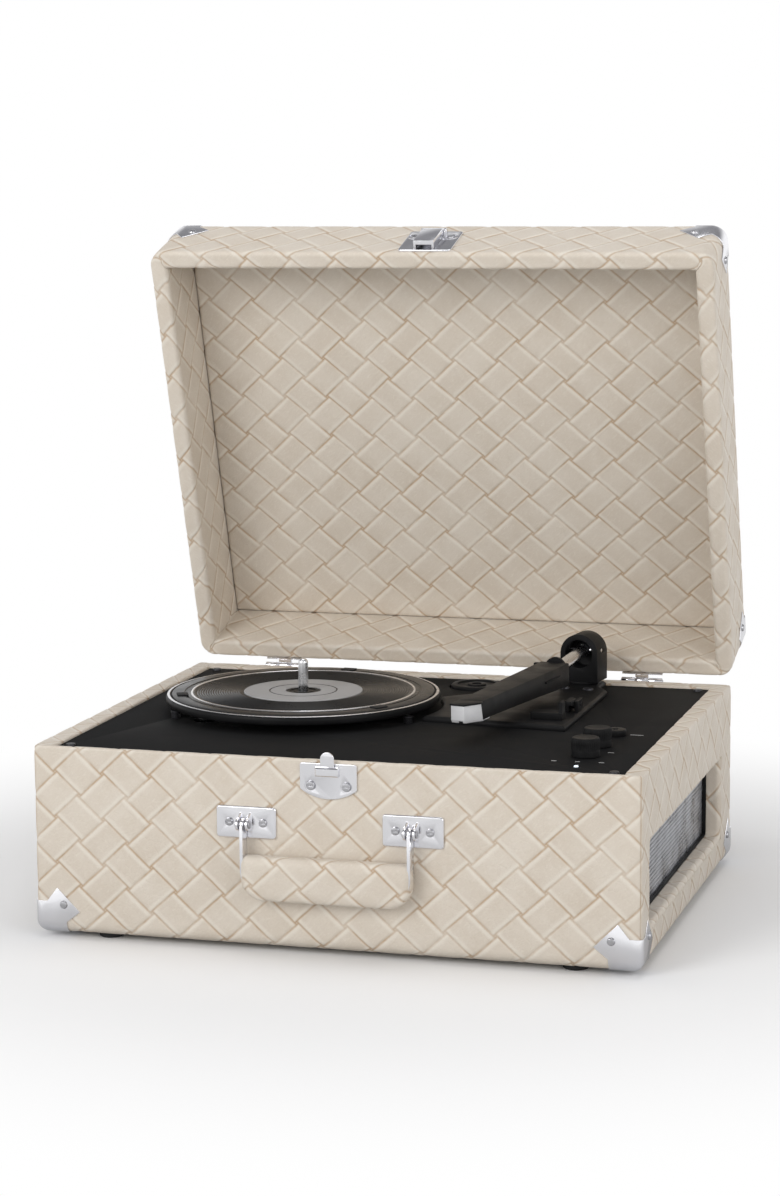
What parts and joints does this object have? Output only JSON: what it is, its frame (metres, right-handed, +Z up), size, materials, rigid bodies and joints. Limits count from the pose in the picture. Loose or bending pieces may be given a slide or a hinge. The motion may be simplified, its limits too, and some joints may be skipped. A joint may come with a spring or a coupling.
{
  "type": "suitcase record player",
  "caption": "Portable record player in a hinged, basket-weave wrapped case, with a belt-driven platter, pivoting tonearm, side speaker and carry handle.",
  "frame": {"origin": "middle of the bounding box, at the underside of the feet, with the lid open as pictured", "axes": "+X to the right of the front, +Y to the back, +Z up"},
  "size_m": [0.4202, 0.408, 0.4698],
  "materials": {
    "wrap": "embossed basket weave, cream",
    "board": "raw board",
    "chrome": "bright nickel plate",
    "dark_steel": "black oxide",
    "black_deck": "matte black, fine grain",
    "black_plastic": "satin black",
    "silver_tube": "polished",
    "silver_plastic": "silver",
    "rubber": "ribbed, satin",
    "grille_metal": "perforated",
    "cone_paper": "pulp cone",
    "brass": "turned",
    "socket_metal": "nickel plated",
    "green_board": "glass fibre",
    "needle": "moulded stylus",
    "lamp": "clear lens"
  },
  "bodies": {
    "case": {"base_case": "wrap", "base_bottom_panel": "board", "deck_battens": "board", "feet": "rubber", "foot_screws": "dark_steel", "base_corners": "chrome", "base_corner_rivets": "chrome", "catch_plate": "chrome", "catch_tongue": "chrome", "front_screws": "chrome", "handle_brackets": "chrome", "handle_pins": "chrome", "hinge_base_leaves": "chrome", "hinge_pins": "chrome", "rear_screws": "chrome", "speaker_grilles": "grille_metal", "speaker_frames": "dark_steel", "speaker_cones": "cone_paper", "rear_jack_plate": "black_plastic", "rear_sockets": "socket_metal", "power_inlet": "socket_metal", "deck_panel": "black_deck", "deck_screws": "dark_steel", "transit_screws": "dark_steel", "transit_springs": "dark_steel", "spindle_bush": "brass", "motor": "black_plastic", "drive_belt": "rubber", "circuit_board": "green_board", "headphone_jack": "black_plastic", "pilot_lamp": "lamp", "arm_base_plate": "black_plastic", "arm_pivot_post": "black_plastic", "arm_rest": "black_plastic"},
    "lid": {"lid_case": "wrap", "lid_lining_panel": "wrap", "lid_corners": "chrome", "lid_rivets": "chrome", "hinge_lid_leaves": "chrome", "hinge_lid_screws": "chrome", "latch_plate": "chrome"},
    "hasp": {"latch_hasp": "chrome"},
    "handle": {"handle_strap": "chrome", "handle_grip": "wrap"},
    "platter": {"platter": "black_plastic", "platter_mat": "rubber", "centre_plate": "silver_plastic", "platter_pads": "rubber", "spindle": "silver_tube"},
    "pulley": {"motor_pulley": "silver_tube"},
    "adapter": {"adapter_45": "black_plastic"},
    "arm_turret": {"arm_housing": "black_plastic", "arm_axle": "silver_tube"},
    "tonearm": {"arm_tube": "silver_tube", "arm_wand": "black_plastic", "cartridge": "silver_plastic", "stylus": "needle"},
    "arm_lifter": {"lift_lever": "black_plastic"},
    "selector": {"selector_knob": "black_plastic"},
    "volume": {"volume_knob": "black_plastic"}
  },
  "joints": [
    {"name": "lid_hinge", "type": "hinge", "parent": "case", "child": "lid", "pos_m": [0, 0.14567, 0.1314], "axis": [-1, 0, 0], "range_deg": [-72.6, 22.4]},
    {"name": "hasp_flap", "type": "hinge", "parent": "lid", "child": "hasp", "pos_m": [0, 0.07755, 0.46615], "axis": [-1, 0, 0], "range_deg": [0, 95]},
    {"name": "handle_swing", "type": "hinge", "parent": "case", "child": "handle", "pos_m": [0, -0.19723, 0.0884], "axis": [-1, 0, 0], "range_deg": [0, 110]},
    {"name": "platter_spin", "type": "hinge", "parent": "case", "child": "platter", "pos_m": [-0.0745, -0.01123, 0.142], "axis": [0, 0, 1], "continuous": true},
    {"name": "pulley_spin", "type": "hinge", "parent": "case", "child": "pulley", "pos_m": [-0.12803, -0.07068, 0.132], "axis": [0, 0, 1], "continuous": true},
    {"name": "adapter_lift", "type": "slide", "parent": "case", "child": "adapter", "axis": [0, 0, 1], "range_m": [0, 0.03]},
    {"name": "arm_swing", "type": "hinge", "parent": "case", "child": "arm_turret", "pos_m": [0.102, 0.11427, 0.139], "axis": [0, 0, -1], "range_deg": [-9, 31]},
    {"name": "arm_lift", "type": "hinge", "parent": "arm_turret", "child": "tonearm", "pos_m": [0.102, 0.11427, 0.159], "axis": [-0.9903, 0.1392, 0], "range_deg": [0, 6]},
    {"name": "lift_lever_tilt", "type": "hinge", "parent": "case", "child": "arm_lifter", "pos_m": [0.1195, 0.00527, 0.1395], "axis": [-1, 0, 0], "range_deg": [0, 35]},
    {"name": "selector_turn", "type": "hinge", "parent": "case", "child": "selector", "pos_m": [0.1573, -0.12723, 0.131], "axis": [0, 0, -1], "range_deg": [-45, 45]},
    {"name": "volume_turn", "type": "hinge", "parent": "case", "child": "volume", "pos_m": [0.1579, -0.09323, 0.131], "axis": [0, 0, -1], "range_deg": [-150, 150]}
  ],
  "couplings": [
    {"joint": "pulley_spin", "follows": "platter_spin", "ratio": 11.2}
  ]
}
